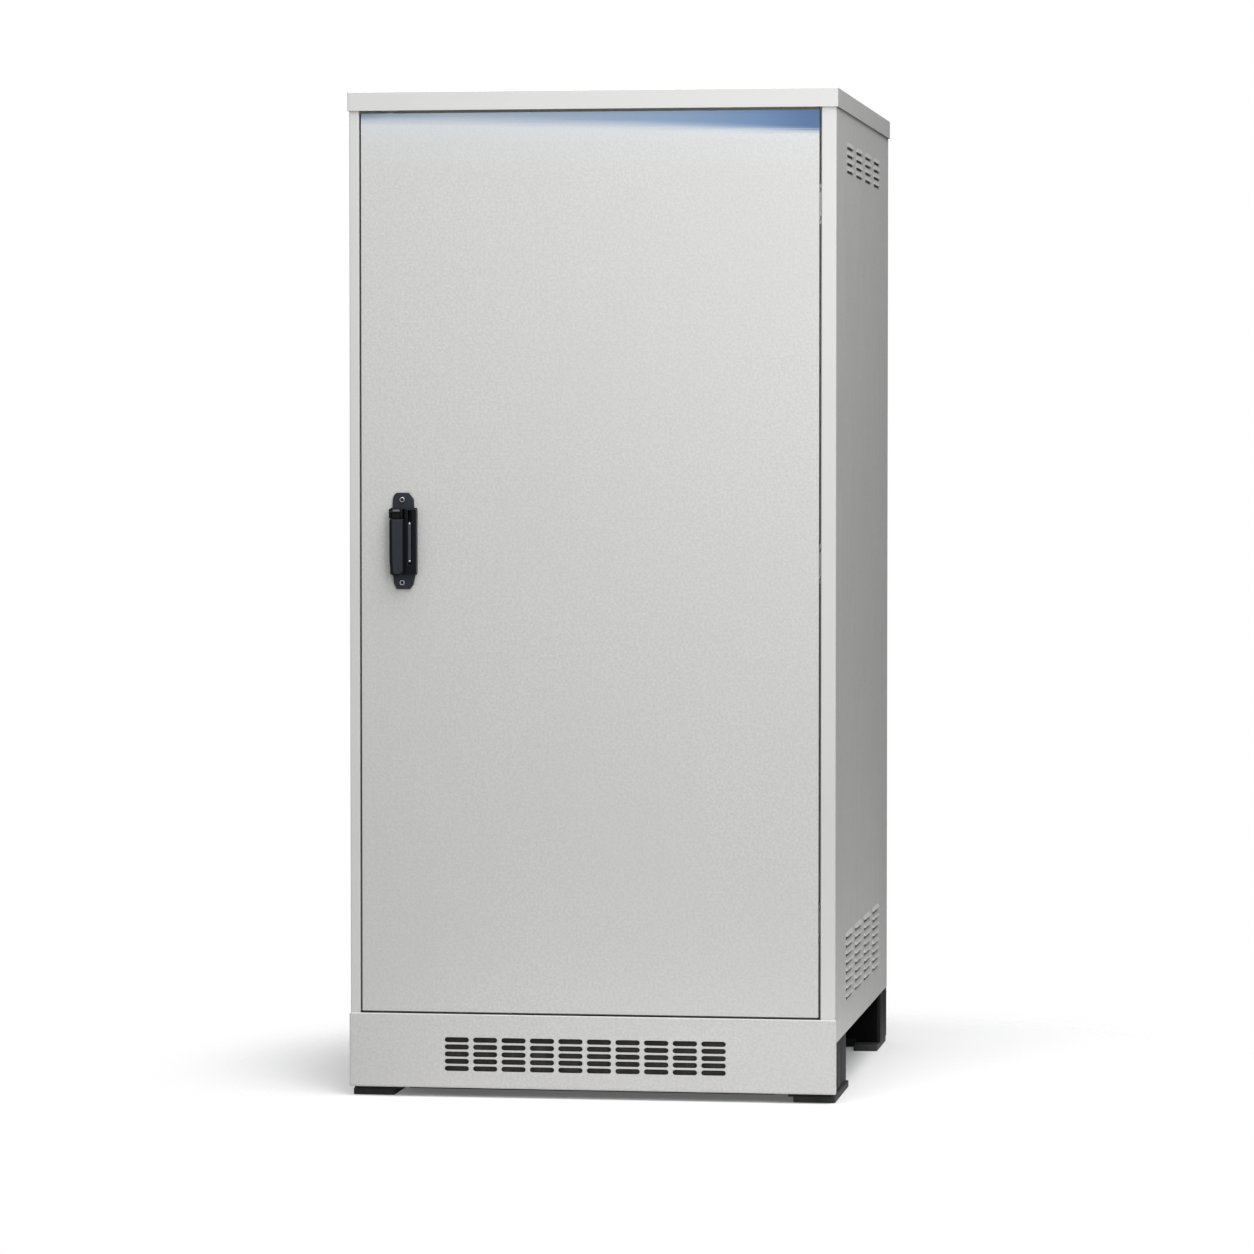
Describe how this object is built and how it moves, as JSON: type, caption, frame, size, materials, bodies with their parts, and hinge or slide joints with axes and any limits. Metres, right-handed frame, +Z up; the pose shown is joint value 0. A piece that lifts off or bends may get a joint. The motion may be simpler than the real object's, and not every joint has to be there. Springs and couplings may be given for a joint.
{
  "type": "battery cabinet",
  "caption": "Floor-standing steel battery cabinet with one hinged door, swing handle, side louvres, slotted kick plate, fork-lift base and shelves of battery blocks.",
  "frame": {"origin": "on the floor, at the centre of the whole object's footprint", "axes": "+Z up, front face and door towards -Y, +X to the right as seen from the front"},
  "size_m": [0.911, 1.037, 1.85],
  "materials": {
    "grey_coat": "fine textured light-grey powder coat",
    "inner_coat": "smooth light-grey powder coat",
    "black_coat": "satin black powder coat",
    "zinc_steel": "zinc plated",
    "foot_rubber": "matte black",
    "gasket_foam": "matte black foam",
    "handle_black": "satin black, fine grained",
    "dark_screw": "blackened",
    "slide_grey": "dark grey",
    "battery_case": "dark grey, fine grained",
    "copper": "tinned copper, dull",
    "terminal_brass": "dull brass",
    "breaker_case": "dark grey thermoset",
    "toggle_black": "satin black",
    "button_red": "red",
    "gland_grey": "grey nylon",
    "cable_sheath": "black sheath"
  },
  "bodies": {
    "cabinet": {"base_front_beam": "black_coat", "base_rear_beam": "black_coat", "base_side_rails": "black_coat", "front_foot_pads": "foot_rubber", "rear_foot_pads": "foot_rubber", "foot_bolts": "zinc_steel", "kick_plate": "grey_coat", "floor_plate": "zinc_steel", "gland_plate": "zinc_steel", "cable_glands": "gland_grey", "earth_bar": "copper", "front_post_left": "inner_coat", "front_post_right": "inner_coat", "rear_post_left": "inner_coat", "rear_post_right": "inner_coat", "header_rail": "inner_coat", "door_sill": "inner_coat", "top_side_rails": "inner_coat", "top_rear_rail": "inner_coat", "side_panel_left": "grey_coat", "side_panel_right": "grey_coat", "rear_panel": "grey_coat", "top_cap": "grey_coat", "cover_screws": "zinc_steel", "hinge_brackets": "zinc_steel", "hinge_pins": "zinc_steel", "hinge_screws": "zinc_steel", "shelf_brackets": "inner_coat", "shelf_1": "inner_coat", "shelf_2": "inner_coat", "shelf_3": "inner_coat", "shelf_4": "inner_coat", "batteries_1": "battery_case", "batteries_2": "battery_case", "batteries_3": "battery_case", "batteries_4": "battery_case", "battery_terminals": "terminal_brass", "battery_links": "copper", "breaker_plate": "inner_coat", "breaker_body": "breaker_case", "output_terminals": "breaker_case", "string_cables": "cable_sheath"},
    "door": {"door_panel": "grey_coat", "door_stiffener_left": "inner_coat", "door_stiffener_right": "inner_coat", "door_gasket": "gasket_foam", "hinge_leaves": "zinc_steel", "handle_base": "handle_black", "handle_screws": "dark_screw", "lock_case": "zinc_steel", "rod_guides": "zinc_steel"},
    "handle": {"handle_hub": "handle_black", "lever_pin": "zinc_steel", "lock_disc": "zinc_steel"},
    "lever": {"handle_lever": "handle_black"},
    "slide": {"lock_slide": "slide_grey"},
    "upper_rod": {"rod_upper": "zinc_steel"},
    "lower_rod": {"rod_lower": "zinc_steel"},
    "toggle": {"breaker_toggle": "toggle_black"},
    "button": {"trip_button": "button_red"}
  },
  "joints": [
    {"name": "door_hinge", "type": "hinge", "parent": "cabinet", "child": "door", "pos_m": [0.4125, -0.4805, 0.985], "axis": [0, 0, 1], "range_deg": [0, 105]},
    {"name": "handle_turn", "type": "hinge", "parent": "door", "child": "handle", "pos_m": [-0.3595, -0.4975, 1.073], "axis": [0, -1, 0], "range_deg": [0, 90]},
    {"name": "handle_lift", "type": "hinge", "parent": "handle", "child": "lever", "pos_m": [-0.3595, -0.5115, 1.079], "axis": [-1, 0, 0], "range_deg": [0, 35]},
    {"name": "lock_slide", "type": "slide", "parent": "door", "child": "slide", "axis": [0, 0, 1], "range_m": [0, 0.015]},
    {"name": "upper_rod_slide", "type": "slide", "parent": "door", "child": "upper_rod", "axis": [0, 0, -1], "range_m": [0, 0.0256]},
    {"name": "lower_rod_slide", "type": "slide", "parent": "door", "child": "lower_rod", "axis": [0, 0, 1], "range_m": [0, 0.0256]},
    {"name": "breaker_toggle", "type": "hinge", "parent": "cabinet", "child": "toggle", "pos_m": [-0.11, -0.3695, 1.69], "axis": [1, 0, 0], "range_deg": [0, 50]},
    {"name": "trip_button", "type": "slide", "parent": "cabinet", "child": "button", "axis": [0, 1, 0], "range_m": [0, 0.0025], "stiffness_N_per_m": 300, "springref_m": -0.002}
  ],
  "couplings": [
    {"joint": "upper_rod_slide", "follows": "handle_turn", "m_per_rad": 0.016206},
    {"joint": "lower_rod_slide", "follows": "handle_turn", "m_per_rad": 0.016206}
  ]
}
